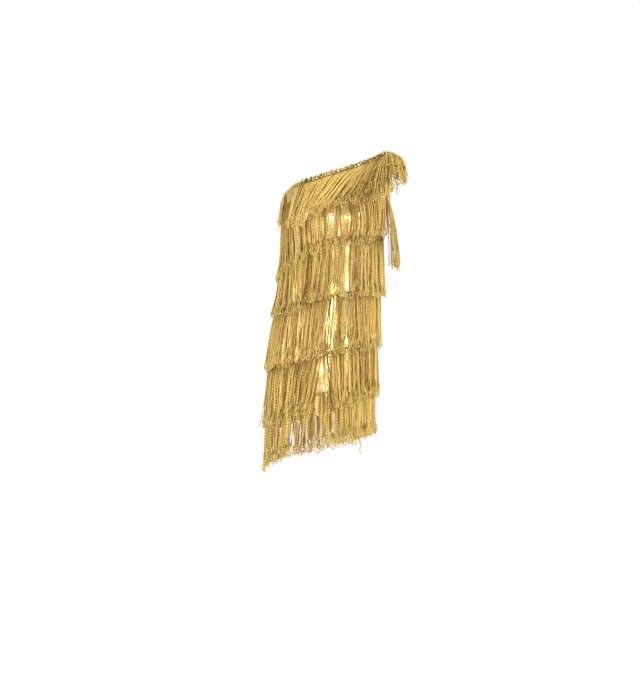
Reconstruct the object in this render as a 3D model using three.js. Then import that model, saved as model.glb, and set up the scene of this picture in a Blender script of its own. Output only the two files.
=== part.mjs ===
// A one-shoulder fringed party dress, hollow as when it is worn, in millimetres with +Z up.
// The front faces -Y and +X is the wearer's left, the side of the only shoulder strap.
// The origin is the seat of the strap on the shoulder.
import * as THREE from "three";

// Driving dimensions
const clothWall = 1.5;
const seamGap = 0.3; // parting between two sewn pieces
const seatGap = 0.9; // parting between a panel and what lies on it
const capRadius = 110; // rounding of the figure over the shoulder
const strapNeckTurn = 33.5; // degrees from the middle front to the neck end of the shoulder seam
const strapArmTurn = 50; // degrees from the middle front to the arm end of the shoulder seam
const sideTurn = 90; // degrees from the middle front to a side seam
const shoulderFallFrom = 150; // where the shoulder line starts to slope down, along X
const shoulderFall = 0.0065; // how fast it slopes, in millimetres per square millimetre
const shoulderFallTop = -30; // the slope is full above this height
const shoulderFallFoot = -140; // and gone below this one
const trimWidth = 9; // sequin braid along the neckline
const trimFromTurn = -48; // where the braid starts, in degrees from the middle front
const trimThickness = 2.2;
const tapeHeight = 7; // woven header of the fringe
const tapeThickness = 1.8;
const lockThickness = 3;
const lockFill = 0.68; // share of the pitch that a lock of fringe takes
const tapeBelowTrim = trimWidth + 0.4;
const armholeMargin = 4; // degrees between the end of a tape and the armhole
const underarmDrop = 20; // how far the underarm tape lies below the armhole's edge

// The figure that fills the dress, from below the hem up to the shoulder line.
// height: below the shoulder line. midX, midY: middle of the section. halfWidth, front, back: its reach.
const sections = [
  { height: -880, midX: -36, midY: 0, halfWidth: 146, front: 112, back: 104 },
  { height: -806, midX: -33, midY: 0, halfWidth: 149, front: 112, back: 106 },
  { height: -699, midX: -27, midY: 0, halfWidth: 152, front: 112, back: 114 },
  { height: -583, midX: -21, midY: 0, halfWidth: 153, front: 108, back: 118 },
  { height: -458, midX: -8, midY: 0, halfWidth: 148, front: 100, back: 102 },
  { height: -383, midX: 0, midY: 0, halfWidth: 145, front: 98, back: 92 },
  { height: -319, midX: 5, midY: 0, halfWidth: 143, front: 104, back: 90 },
  { height: -241, midX: 9, midY: 0, halfWidth: 145, front: 118, back: 94 },
  { height: -191, midX: 13, midY: 0, halfWidth: 150, front: 124, back: 98 },
  { height: -139, midX: 19, midY: 2, halfWidth: 155, front: 114, back: 100 },
  { height: -67, midX: 40, midY: 6, halfWidth: 171, front: 102, back: 96 },
  { height: 0, midX: 60, midY: 10, halfWidth: 185, front: 95, back: 90 },
];

// Fullness of the cut: the two cups of the front and the soft folds of the skirt.
// turn, spread: place and width in degrees. height, reach: middle and half length. rise: how far it stands out.
const frontFullness = [
  { turn: -33, spread: 24, height: -196, reach: 62, rise: 8 },
  { turn: 33, spread: 24, height: -196, reach: 62, rise: 8 },
  { turn: -58, spread: 11, height: -720, reach: 240, rise: 4 },
  { turn: -24, spread: 12, height: -700, reach: 300, rise: 5 },
  { turn: 6, spread: 10, height: -690, reach: 340, rise: 4 },
  { turn: 38, spread: 12, height: -740, reach: 260, rise: 4 },
];
const backFullness = [
  { turn: -50, spread: 12, height: -730, reach: 230, rise: 4 },
  { turn: -12, spread: 12, height: -710, reach: 300, rise: 5 },
  { turn: 26, spread: 11, height: -700, reach: 330, rise: 4 },
  { turn: 60, spread: 11, height: -740, reach: 220, rise: 4 },
];

// Top edge of either panel: the slanting neckline, the shoulder seam and the armhole.
const necklineRows = [
  { turn: -sideTurn, height: -133 },
  { turn: -68, height: -113 },
  { turn: -55, height: -96 },
  { turn: -34, height: -80 },
  { turn: -14, height: -61 },
  { turn: 0, height: -47 },
  { turn: 12, height: -34 },
  { turn: 24.5, height: -17 },
  { turn: 30, height: -6 },
  { turn: strapNeckTurn, height: 0 },
];
const armholeRows = [
  { turn: strapArmTurn, height: 0 },
  { turn: 52, height: -30 },
  { turn: 54.5, height: -67 },
  { turn: 63, height: -104 },
  { turn: 76, height: -128 },
  { turn: sideTurn, height: -139 },
];

// Slanting levels, as the height at X = 0 and the climb per millimetre towards the strap side.
// bend: how much the level bends down away from the strap side, in millimetres per square millimetre.
// strapBend: the same on the strap side.
const hemLevel = { height: -757, climb: 0.16, bend: 0.0009, strapBend: 0 };

// Sections of a lock below the tape. at: share of its length. width: share of its width at the tape.
const straightLock = [
  { at: 0.35, width: 0.94 },
  { at: 0.93, width: 1.04 },
  { at: 1, width: 0.55 },
];
const bentLock = [
  { at: 0.1, width: 1 },
  { at: 0.35, width: 0.94 },
  { at: 0.65, width: 0.94 },
  { at: 0.95, width: 1 },
  { at: 1, width: 0.55 },
];
const lyingLock = [
  { at: 0.1, width: 1 },
  { at: 0.3, width: 0.94 },
  { at: 0.5, width: 0.92 },
  { at: 0.72, width: 0.94 },
  { at: 0.95, width: 1 },
  { at: 1, width: 0.55 },
];

// Straight tiers of fringe. height, climb, bend, strapBend: level of the tape's top edge.
// length: of a lock. lean: how far its tip drifts sideways for each millimetre of length.
// tip: how far its tip clears the cloth.
// locks: on each panel.
const bustTier = { name: "bust", height: -105, climb: 0.24, bend: 0.0011, strapBend: 0 };
const waistTier = { name: "waist", height: -253, climb: 0.21, bend: 0.0006, strapBend: 0.0012 };
const hipTier = { name: "hip", height: -413, climb: 0.21, bend: 0.0004, strapBend: 0.0004 };
const thighTier = { name: "thigh", height: -576, climb: 0.23, bend: 0.0003, strapBend: -0.0004 };
const hemTier = { name: "hem", height: -690, climb: 0.2, bend: 0.0004, strapBend: -0.0007 };
const tiers = [
  { ...bustTier, lock: bentLock, length: 161, lean: 0, tip: 7, locks: 17 },
  { ...waistTier, lock: straightLock, length: 157, lean: 0, tip: 6.5, locks: 19 },
  { ...hipTier, lock: straightLock, length: 159, lean: 0, tip: 6.5, locks: 19 },
  { ...thighTier, lock: straightLock, length: 159, lean: 0, tip: 9, locks: 19 },
  { ...hemTier, lock: straightLock, length: 160, lean: 0, tip: 6.5, locks: 19 },
];

// Fringe of the neckline. at: share of the edge from the underarm to the shoulder seam.
// leanRoot, leanTip: sideways run for each millimetre of fall, at the root and at the tip of a lock.
// tip: how far the tip of a lock clears the cloth.
// plumb: how much a lock hangs on straight below the place where the cloth stands out most.
// forward: how much a lock runs forward where the cloth faces up.
const necklineFringe = { fromTurn: -56, length: 155, locks: 13, forward: 0.7 };
const necklineFall = [
  { at: 0, leanRoot: -0.3, leanTip: -0.2, tip: 15, plumb: 0 },
  { at: 0.2, leanRoot: -0.45, leanTip: -0.3, tip: 15, plumb: 0 },
  { at: 0.4, leanRoot: -0.75, leanTip: -0.5, tip: 15, plumb: 0 },
  { at: 0.65, leanRoot: -0.85, leanTip: -0.6, tip: 15, plumb: 0.2 },
  { at: 0.82, leanRoot: -0.55, leanTip: -0.35, tip: 15, plumb: 0.8 },
  { at: 0.92, leanRoot: 0.1, leanTip: 0, tip: 15, plumb: 1 },
  { at: 1, leanRoot: 1.4, leanTip: 0, tip: 12, plumb: 1 },
];

// Fringe that follows the armhole below the arm.
const underarmFringe = { fromTurn: 64, toTurn: sideTurn, length: 172, lean: 0.1, locks: 4, tip: 15 };

// Sampling of the panels and of the paths.
const panelColumns = [
  { from: -sideTurn, to: strapNeckTurn, count: 18 },
  { from: strapNeckTurn, to: strapArmTurn, count: 4 },
  { from: strapArmTurn, to: sideTurn, count: 7 },
];
const yokeLevel = -165; // the rows of a panel are level with the hem below this height
const skirtRows = 15;
const yokeRows = 8;
const panelRows = skirtRows + yokeRows;
const walkSteps = 20;
const edgeSamples = 160;

const front = -1;
const back = 1;
const { degToRad, clamp, lerp, smoothstep } = THREE.MathUtils;

// Materials
const lame = new THREE.MeshStandardMaterial({ color: 0xc79a4a, roughness: 0.32, metalness: 0.85 });
const chainette = new THREE.MeshStandardMaterial({ color: 0xc8a55c, roughness: 0.5, metalness: 0.35 });
const sequins = new THREE.MeshStandardMaterial({ color: 0xd9b45a, roughness: 0.15, metalness: 1 });

// A smooth curve through one column of a table whose key column climbs.
function curveThrough(rows, key, column) {
  const at = rows.map((row) => row[key]);
  const value = rows.map((row) => row[column]);
  const last = at.length - 1;
  const slope = at.map((_, i) => {
    const before = Math.max(i - 1, 0);
    const after = Math.min(i + 1, last);
    return (value[after] - value[before]) / (at[after] - at[before]);
  });
  return (x) => {
    const t = clamp(x, at[0], at[last]);
    let i = 0;
    while (i < last - 1 && t > at[i + 1]) i += 1;
    const step = at[i + 1] - at[i];
    const s = (t - at[i]) / step;
    const ease = s * s * (3 - 2 * s);
    const leave = s * (1 - s) * (1 - s) * step * slope[i];
    const arrive = s * s * (1 - s) * step * slope[i + 1];
    return lerp(value[i], value[i + 1], ease) + leave - arrive;
  };
}

const sectionCurves = {};
for (const column of ["midX", "midY", "halfWidth", "front", "back"]) {
  sectionCurves[column] = curveThrough(sections, "height", column);
}
const leanRootAt = curveThrough(necklineFall, "at", "leanRoot");
const leanTipAt = curveThrough(necklineFall, "at", "leanTip");
const tipAt = curveThrough(necklineFall, "at", "tip");
const plumbAt = curveThrough(necklineFall, "at", "plumb");

// Rise is the height below the shoulder's rounding, and the length of its arc above.
const riseTop = capRadius * (Math.PI / 2 - 1);

function heightOf(rise) {
  return rise < -capRadius ? rise : capRadius * (Math.sin((rise + capRadius) / capRadius) - 1);
}

function riseOf(height) {
  return height < -capRadius ? height : capRadius * (Math.asin(height / capRadius + 1) - 1);
}

function capShare(rise) {
  return rise < -capRadius ? 1 : Math.cos((rise + capRadius) / capRadius);
}

function fullness(side, turn, height) {
  const rows = side === front ? frontFullness : backFullness;
  let rise = 0;
  for (const row of rows) {
    const across = (turn - row.turn) / row.spread;
    const along = (height - row.height) / row.reach;
    rise += row.rise * Math.exp(-across * across - along * along);
  }
  return rise;
}

// The outer face of the cloth. Turn is in degrees from the middle front or back, positive to the wearer's left.
function clothPoint(side, turn, rise) {
  const height = heightOf(rise);
  const halfWidth = sectionCurves.halfWidth(height);
  const depth = (side === front ? sectionCurves.front(height) : sectionCurves.back(height)) * capShare(rise);
  const angle = degToRad(turn);
  const puff = 1 + (2 * fullness(side, turn, height)) / (halfWidth + Math.abs(depth));
  const x = sectionCurves.midX(height) + halfWidth * Math.sin(angle) * puff;
  const y = sectionCurves.midY(height) + side * (seamGap / 2 + depth * Math.cos(angle) * puff);
  const past = Math.max(0, x - shoulderFallFrom);
  const drop = shoulderFall * past * past * smoothstep(height, shoulderFallFoot, shoulderFallTop);
  return new THREE.Vector3(x, y, height - drop);
}

// Tangents per degree of turn and per millimetre of rise, and the outward normal.
function clothFrame(side, turn, rise) {
  const turnStep = 0.25;
  const riseStep = 0.5;
  const alongTurn = clothPoint(side, turn + turnStep, rise)
    .sub(clothPoint(side, turn - turnStep, rise))
    .divideScalar(2 * turnStep);
  const alongRise = clothPoint(side, turn, rise + riseStep)
    .sub(clothPoint(side, turn, rise - riseStep))
    .divideScalar(2 * riseStep);
  const normal = new THREE.Vector3().crossVectors(alongTurn, alongRise).multiplyScalar(-side).normalize();
  return { alongTurn, alongRise, normal };
}

function liftedPoint(side, place, lift) {
  const { normal } = clothFrame(side, place.turn, place.rise);
  return clothPoint(side, place.turn, place.rise).addScaledVector(normal, lift);
}

// Moves a place over the cloth by a vector, as far as the vector lies along the cloth.
function slide(side, place, vector) {
  const { alongTurn, alongRise } = clothFrame(side, place.turn, place.rise);
  const tt = alongTurn.dot(alongTurn);
  const rr = alongRise.dot(alongRise);
  const tr = alongTurn.dot(alongRise);
  const vt = vector.dot(alongTurn);
  const vr = vector.dot(alongRise);
  const spread = tt * rr - tr * tr;
  return {
    turn: place.turn + (vt * rr - vr * tr) / spread,
    rise: place.rise + (vr * tt - vt * tr) / spread,
  };
}

const risen = (rows) => rows.map((row) => ({ turn: row.turn, rise: riseOf(row.height) }));
const necklineRise = curveThrough(risen(necklineRows), "turn", "rise");
const armholeRise = curveThrough(risen(armholeRows), "turn", "rise");

function topRise(turn) {
  if (turn <= strapNeckTurn) return necklineRise(turn);
  return turn < strapArmTurn ? riseTop : armholeRise(turn);
}

// The rise at which a slanting level meets the cloth.
function levelRise(side, turn, level) {
  let rise = level.height;
  for (let i = 0; i < 8; i += 1) {
    const { x } = clothPoint(side, turn, rise);
    const bend = x < 0 ? level.bend : level.strapBend;
    rise = level.height + level.climb * x - bend * x * x;
  }
  return rise;
}

// A geometry that collects points and four-sided faces. Faces of the back panel are turned round.
class Facets {
  constructor(side) {
    this.side = side;
    this.points = [];
    this.faces = [];
  }

  add(point) {
    this.points.push(point.x, point.y, point.z);
    return this.points.length / 3 - 1;
  }

  quad(a, b, c, d) {
    if (this.side === front) this.faces.push(a, b, c, a, c, d);
    else this.faces.push(a, c, b, a, d, c);
  }

  geometry() {
    const made = new THREE.BufferGeometry();
    made.setAttribute("position", new THREE.Float32BufferAttribute(this.points, 3));
    made.setIndex(this.faces);
    made.computeVertexNormals();
    return made;
  }
}

function columnTurns() {
  const turns = [-sideTurn];
  for (const { from, to, count } of panelColumns) {
    for (let i = 1; i <= count; i += 1) turns.push(lerp(from, to, i / count));
  }
  return turns;
}

// A panel of the dress: a wall from the hem to the top edge between the two side seams.
function panelGeometry(side) {
  const turns = columnTurns();
  const facets = new Facets(side);
  const lastColumn = turns.length - 1;
  const outer = [];
  const inner = [];
  for (let i = 0; i <= panelRows; i += 1) {
    outer.push([]);
    inner.push([]);
    turns.forEach((turn, j) => {
      const rise =
        i < skirtRows
          ? lerp(levelRise(side, turn, hemLevel), yokeLevel, i / skirtRows)
          : lerp(yokeLevel, topRise(turn), (i - skirtRows) / yokeRows);
      const point = clothPoint(side, turn, rise);
      const { normal } = clothFrame(side, turn, rise);
      const onSideSeam = j === 0 || j === lastColumn;
      const onShoulderSeam = i === panelRows && turn >= strapNeckTurn && turn <= strapArmTurn;
      if (onSideSeam || onShoulderSeam) normal.setY(0).normalize();
      outer[i].push(facets.add(point));
      inner[i].push(facets.add(point.clone().addScaledVector(normal, -clothWall)));
    });
  }
  for (let i = 0; i < panelRows; i += 1) {
    for (let j = 0; j < lastColumn; j += 1) {
      facets.quad(outer[i][j], outer[i][j + 1], outer[i + 1][j + 1], outer[i + 1][j]);
      facets.quad(inner[i][j], inner[i + 1][j], inner[i + 1][j + 1], inner[i][j + 1]);
    }
    facets.quad(inner[i][0], outer[i][0], outer[i + 1][0], inner[i + 1][0]);
    facets.quad(
      outer[i][lastColumn], inner[i][lastColumn], inner[i + 1][lastColumn], outer[i + 1][lastColumn],
    );
  }
  for (let j = 0; j < lastColumn; j += 1) {
    facets.quad(inner[0][j], inner[0][j + 1], outer[0][j + 1], outer[0][j]);
    facets.quad(
      outer[panelRows][j], outer[panelRows][j + 1], inner[panelRows][j + 1], inner[panelRows][j],
    );
  }
  return facets.geometry();
}

// Places along an edge of the cloth, with their distance from its start.
function edgePath(side, placeAt, fromTurn, toTurn) {
  const path = [];
  let length = 0;
  let before = null;
  for (let i = 0; i <= edgeSamples; i += 1) {
    const place = placeAt(lerp(fromTurn, toTurn, i / edgeSamples));
    const point = clothPoint(side, place.turn, place.rise);
    if (before) length += point.distanceTo(before);
    path.push({ place, length });
    before = point;
  }
  return path;
}

function placeOnPath(path, share) {
  const wanted = share * path[path.length - 1].length;
  let i = 1;
  while (i < path.length - 1 && path[i].length < wanted) i += 1;
  const low = path[i - 1];
  const high = path[i];
  const s = (wanted - low.length) / (high.length - low.length);
  return {
    turn: lerp(low.place.turn, high.place.turn, s),
    rise: lerp(low.place.rise, high.place.rise, s),
  };
}

// A place that lies a distance into the cloth from the path, square to it.
function inwardPlace(side, path, share, distance) {
  const place = placeOnPath(path, share);
  const ahead = placeOnPath(path, Math.min(1, share + 0.005));
  const behind = placeOnPath(path, Math.max(0, share - 0.005));
  const along = clothPoint(side, ahead.turn, ahead.rise)
    .sub(clothPoint(side, behind.turn, behind.rise))
    .normalize();
  const { normal } = clothFrame(side, place.turn, place.rise);
  const inward = new THREE.Vector3().crossVectors(along, normal).multiplyScalar(-side);
  const halfway = slide(side, place, inward.clone().multiplyScalar(distance / 2));
  return slide(side, halfway, inward.multiplyScalar(distance / 2));
}

const necklinePlace = (turn) => ({ turn, rise: necklineRise(turn) });

// A flat braid on the cloth along the neckline.
function trimGeometry(side) {
  const segments = 40;
  const path = edgePath(side, necklinePlace, trimFromTurn, strapNeckTurn);
  const facets = new Facets(side);
  const rings = [];
  for (let i = 0; i <= segments; i += 1) {
    const top = inwardPlace(side, path, i / segments, 0);
    const foot = inwardPlace(side, path, i / segments, trimWidth);
    rings.push([
      facets.add(liftedPoint(side, foot, seatGap + trimThickness)),
      facets.add(liftedPoint(side, top, seatGap + trimThickness)),
      facets.add(liftedPoint(side, top, seatGap)),
      facets.add(liftedPoint(side, foot, seatGap)),
    ]);
  }
  for (let i = 0; i < segments; i += 1) {
    for (let k = 0; k < 4; k += 1) {
      const next = (k + 1) % 4;
      facets.quad(rings[i][k], rings[i + 1][k], rings[i + 1][next], rings[i][next]);
    }
  }
  const [first, last] = [rings[0], rings[segments]];
  facets.quad(first[0], first[1], first[2], first[3]);
  facets.quad(last[3], last[2], last[1], last[0]);
  return facets.geometry();
}

// The place on the cloth that faces a point of the air at its own height.
function facingPlace(point) {
  const height = point.z;
  const side = point.y < sectionCurves.midY(height) ? front : back;
  const rise = riseOf(height);
  const depth = (side === front ? sectionCurves.front(height) : sectionCurves.back(height)) * capShare(rise);
  const across = (point.x - sectionCurves.midX(height)) / sectionCurves.halfWidth(height);
  const out = Math.abs(point.y - sectionCurves.midY(height)) / depth;
  return { side, turn: THREE.MathUtils.radToDeg(Math.atan2(across, out)), rise };
}

// A lock that hangs straight down and lies on the cloth where the cloth comes out to meet it.
function hangingStation(side, root, { length, lean, tip }, share) {
  const point = clothPoint(side, root.turn, root.rise);
  point.x += lean * length * Math.sqrt(share);
  point.z -= length * share;
  const place = facingPlace(point);
  const { normal, alongTurn } = clothFrame(place.side, place.turn, place.rise);
  const onCloth = clothPoint(place.side, place.turn, place.rise);
  const clearance = lerp(seatGap, tip, share ** 0.7);
  const away = Math.max(clearance, point.clone().sub(onCloth).dot(normal));
  const across = alongTurn.normalize().multiplyScalar(place.side === side ? 1 : -1);
  return { inner: onCloth.addScaledVector(normal, away), normal, across };
}

// A lock that lies on the cloth and runs sideways as it falls.
function lyingStation(side, root, fall, length, share) {
  let place = root;
  let direction = new THREE.Vector3(0, 0, -1);
  let reach = side * clothPoint(side, place.turn, place.rise).y;
  let outmost = -Infinity;
  const steps = Math.round(walkSteps * share);
  for (let i = 0; i < steps; i += 1) {
    const sideways = lerp(fall.leanRoot, fall.leanTip, i / walkSteps);
    const { normal } = clothFrame(side, place.turn, place.rise);
    const forward = side * necklineFringe.forward * Math.max(0, normal.z);
    direction = new THREE.Vector3(sideways, forward, -1).projectOnPlane(normal).normalize();
    place = slide(side, place, direction.clone().multiplyScalar(length / walkSteps));
    const point = clothPoint(side, place.turn, place.rise);
    reach = Math.max(reach, side * point.y);
    outmost = Math.max(outmost, point.x);
  }
  const { normal } = clothFrame(side, place.turn, place.rise);
  const across = new THREE.Vector3().crossVectors(normal, direction).multiplyScalar(-side).normalize();
  const clearance = lerp(seatGap, fall.tip, Math.sqrt(share));
  const inner = liftedPoint(side, place, clearance);
  const behind = Math.max(0, reach + clearance - side * inner.y);
  inner.y += side * behind * fall.plumb * share;
  if (fall.leanRoot > 0) inner.x = Math.max(inner.x, outmost);
  return { inner, normal, across };
}

// A tape on the cloth with the locks of fringe that grow out of its lower edge.
// tapePlace gives a place at a share of the tape and a distance below its top.
// lockStation gives the inner middle, normal and width direction of a lock's section.
function fringeGeometry(side, locks, pitch, lockShape, tapePlace, lockStation) {
  const facets = new Facets(side);
  const shares = [0];
  for (let k = 0; k < locks; k += 1) {
    shares.push((k + 0.5 - lockFill / 2) / locks, (k + 0.5 + lockFill / 2) / locks);
  }
  shares.push(1);
  const stations = shares.map((share) => {
    const top = tapePlace(share, 0);
    const foot = tapePlace(share, tapeHeight);
    return {
      topInner: facets.add(liftedPoint(side, top, seatGap)),
      topOuter: facets.add(liftedPoint(side, top, seatGap + tapeThickness)),
      footInner: facets.add(liftedPoint(side, foot, seatGap)),
      footOuter: facets.add(liftedPoint(side, foot, seatGap + tapeThickness)),
    };
  });
  stations.slice(1).forEach((right, i) => {
    const left = stations[i];
    facets.quad(left.footOuter, right.footOuter, right.topOuter, left.topOuter);
    facets.quad(right.footInner, left.footInner, left.topInner, right.topInner);
    facets.quad(left.topOuter, right.topOuter, right.topInner, left.topInner);
    const isLock = i % 2 === 1;
    if (isLock) growLock(facets, left, right, (i - 1) / 2);
    else facets.quad(right.footOuter, left.footOuter, left.footInner, right.footInner);
  });
  const [first, last] = [stations[0], stations[stations.length - 1]];
  facets.quad(first.topOuter, first.topInner, first.footInner, first.footOuter);
  facets.quad(last.footOuter, last.footInner, last.topInner, last.topOuter);

  function growLock(into, left, right, k) {
    let ring = [left.footOuter, right.footOuter, right.footInner, left.footInner];
    const share = (k + 0.5) / locks;
    for (const { at, width } of lockShape) {
      const { inner, normal, across } = lockStation(share, at);
      const half = across.clone().multiplyScalar((pitch * lockFill * width) / 2);
      const outer = inner.clone().addScaledVector(normal, lockThickness);
      const next = [
        into.add(outer.clone().sub(half)),
        into.add(outer.clone().add(half)),
        into.add(inner.clone().add(half)),
        into.add(inner.clone().sub(half)),
      ];
      for (let e = 0; e < 4; e += 1) {
        const after = (e + 1) % 4;
        into.quad(next[e], next[after], ring[after], ring[e]);
      }
      ring = next;
    }
    into.quad(ring[1], ring[0], ring[3], ring[2]);
  }
  return facets.geometry();
}

// A tier whose tape follows a slanting level from side seam to side seam, or to the armhole above it.
function tierGeometry(side, tier) {
  const levelPlace = (turn) => ({ turn, rise: levelRise(side, turn, tier) });
  let toTurn = sideTurn;
  while (levelPlace(toTurn).rise > topRise(Math.min(sideTurn, toTurn + armholeMargin)) - tapeHeight) {
    toTurn -= 0.25;
  }
  const path = edgePath(side, levelPlace, -sideTurn, toTurn);
  const pitch = path[path.length - 1].length / tier.locks;
  const tapePlace = (share, below) => {
    const place = placeOnPath(path, share);
    return { turn: place.turn, rise: place.rise - below };
  };
  const lockStation = (share, at) => hangingStation(side, tapePlace(share, tapeHeight), tier, at);
  return fringeGeometry(side, tier.locks, pitch, tier.lock, tapePlace, lockStation);
}

// The tier below the braid of the neckline, whose locks are brushed sideways over the chest.
function necklineFringeGeometry(side) {
  const { fromTurn, length, locks } = necklineFringe;
  const path = edgePath(side, necklinePlace, fromTurn, strapNeckTurn);
  const pitch = path[path.length - 1].length / locks;
  const tapePlace = (share, below) => inwardPlace(side, path, share, tapeBelowTrim + below);
  const lockStation = (share, at) => {
    const lean = { leanRoot: leanRootAt(share), leanTip: leanTipAt(share) };
    const fall = { ...lean, tip: tipAt(share), plumb: plumbAt(share) };
    return lyingStation(side, tapePlace(share, tapeHeight), fall, length, at);
  };
  return fringeGeometry(side, locks, pitch, lyingLock, tapePlace, lockStation);
}

// The short tape that carries the fringe on below the arm.
function underarmFringeGeometry(side) {
  const { fromTurn, toTurn, locks } = underarmFringe;
  const armholePlace = (turn) => ({ turn, rise: armholeRise(turn) - underarmDrop });
  const path = edgePath(side, armholePlace, fromTurn, toTurn);
  const pitch = path[path.length - 1].length / locks;
  const tapePlace = (share, below) => {
    const place = placeOnPath(path, share);
    return { turn: place.turn, rise: place.rise - below };
  };
  const lockStation = (share, at) => hangingStation(side, tapePlace(share, tapeHeight), underarmFringe, at);
  return fringeGeometry(side, locks, pitch, straightLock, tapePlace, lockStation);
}

// The dress stands in the figure's own frame, and the group brings the shoulder seat to the origin.
const dress = new THREE.Group();
const seatTurn = (strapNeckTurn + strapArmTurn) / 2;
const shoulderSeat = clothPoint(front, seatTurn, riseTop);
dress.position.set(-shoulderSeat.x, -sectionCurves.midY(0), clothWall - shoulderSeat.z);

function addPiece(name, geometry, material) {
  const piece = new THREE.Mesh(geometry, material);
  piece.name = name;
  dress.add(piece);
}

for (const [side, word] of [[front, "front"], [back, "back"]]) {
  addPiece(`${word}_panel`, panelGeometry(side), lame);
  addPiece(`neckline_trim_${word}`, trimGeometry(side), sequins);
  addPiece(`fringe_neckline_${word}`, necklineFringeGeometry(side), chainette);
  addPiece(`fringe_underarm_${word}`, underarmFringeGeometry(side), chainette);
  for (const tier of tiers) {
    addPiece(`fringe_${tier.name}_${word}`, tierGeometry(side, tier), chainette);
  }
}

const part = new THREE.Group();
part.add(dress);
export default part;
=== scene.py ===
import math

import bpy
import bmesh
import numpy as np
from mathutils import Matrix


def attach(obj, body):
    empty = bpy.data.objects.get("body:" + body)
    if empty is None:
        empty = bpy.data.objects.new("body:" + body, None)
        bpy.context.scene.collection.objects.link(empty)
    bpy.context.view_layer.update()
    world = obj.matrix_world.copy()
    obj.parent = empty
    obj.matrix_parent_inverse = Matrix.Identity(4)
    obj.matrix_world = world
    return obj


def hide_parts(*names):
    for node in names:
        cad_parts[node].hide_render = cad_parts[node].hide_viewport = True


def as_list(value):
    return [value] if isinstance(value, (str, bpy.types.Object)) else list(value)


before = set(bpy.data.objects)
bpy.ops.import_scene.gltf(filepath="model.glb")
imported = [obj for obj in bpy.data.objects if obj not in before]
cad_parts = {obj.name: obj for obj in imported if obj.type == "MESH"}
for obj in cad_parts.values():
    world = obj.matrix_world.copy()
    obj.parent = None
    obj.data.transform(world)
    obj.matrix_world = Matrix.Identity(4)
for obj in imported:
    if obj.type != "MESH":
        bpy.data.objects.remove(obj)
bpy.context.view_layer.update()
front = -1
back = 1
sideNames = {front: "front", back: "back"}

# the figure that fills the dress, in millimetres, a column of numbers for each size
figure = {
    "height": [-880, -806, -699, -583, -458, -383, -319, -241, -191, -139, -67, 0],
    "midX": [-36, -33, -27, -21, -8, 0, 5, 9, 13, 19, 40, 60],
    "midY": [0, 0, 0, 0, 0, 0, 0, 0, 0, 2, 6, 10],
    "halfWidth": [146, 149, 152, 153, 148, 145, 143, 145, 150, 155, 171, 185],
    "front": [112, 112, 112, 108, 100, 98, 104, 118, 124, 114, 102, 95],
    "back": [104, 106, 114, 118, 102, 92, 90, 94, 98, 100, 96, 90],
    "capRadius": 110,
    "fallFrom": 150,
    "fall": 0.0065,
    "fallTop": -30,
    "fallFoot": -140,
    "strapTurns": (33.5, 50),
    "clothWall": 1.5,
    "seamGap": 0.3,
    "seatGap": 0.9,
}

# cups and skirt folds: turn, spread, height, reach, rise
fullness = {
    front: [
        (-33, 24, -196, 62, 8), (33, 24, -196, 62, 8), (-58, 11, -720, 240, 4),
        (-24, 12, -700, 300, 5), (6, 10, -690, 340, 4), (38, 12, -740, 260, 4),
    ],
    back: [
        (-50, 12, -730, 230, 4), (-12, 12, -710, 300, 5), (26, 11, -700, 330, 4), (60, 11, -740, 220, 4),
    ],
}

# top edge and hem of both panels, turn in degrees and height in millimetres
edges = {
    "necklineTurn": [-90, -68, -55, -34, -14, 0, 12, 24.5, 30, 33.5],
    "necklineHeight": [-133, -113, -96, -80, -61, -47, -34, -17, -6, 0],
    "armholeTurn": [50, 52, 54.5, 63, 76, 90],
    "armholeHeight": [0, -30, -67, -104, -128, -139],
    "hem": {"height": -757, "climb": 0.16, "bend": 0.0009, "strapBend": 0},
}


def smoothCurve(keys, values):
    keys = np.asarray(keys, float)
    values = np.asarray(values, float)
    slopes = np.gradient(values, keys)
    slopes[1:-1] = (values[2:] - values[:-2]) / (keys[2:] - keys[:-2])

    def curve(x):
        x = np.clip(x, keys[0], keys[-1])
        i = np.clip(np.searchsorted(keys, x, side="right") - 1, 0, len(keys) - 2)
        step = keys[i + 1] - keys[i]
        s = (x - keys[i]) / step
        ease = s * s * (3 - 2 * s)
        bend = s * (1 - s) ** 2 * slopes[i] - s * s * (1 - s) * slopes[i + 1]
        return values[i] + (values[i + 1] - values[i]) * ease + step * bend

    return curve


def smoothStep(x, low, high):
    s = np.clip((x - low) / (high - low), 0, 1)
    return s * s * (3 - 2 * s)


figureCurve = {
    key: smoothCurve(figure["height"], figure[key]) for key in ("midX", "midY", "halfWidth", "front", "back")
}
strapFrom, strapTo = figure["strapTurns"]
capRadius = figure["capRadius"]
riseTop = capRadius * (math.pi / 2 - 1)


# rise runs over the cloth and height straight up: they part where the shoulder rounds over
def heightOf(rise):
    arc = capRadius * (np.sin((rise + capRadius) / capRadius) - 1)
    return np.where(rise < -capRadius, rise, arc)


def riseOf(height):
    arc = capRadius * (np.arcsin(np.clip(height / capRadius + 1, -1, 1)) - 1)
    return np.where(height < -capRadius, height, arc)


def depthOf(side, height, rise):
    depth = np.where(side == front, figureCurve["front"](height), figureCurve["back"](height))
    return depth * np.where(rise < -capRadius, 1.0, np.cos((rise + capRadius) / capRadius))


def fullnessRise(side, turn, height):
    total = 0
    for which in (front, back):
        swell = sum(
            rise * np.exp(-((turn - at) / spread) ** 2 - ((height - level) / reach) ** 2)
            for at, spread, level, reach, rise in fullness[which]
        )
        total = total + np.where(side == which, swell, 0)
    return total


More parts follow.
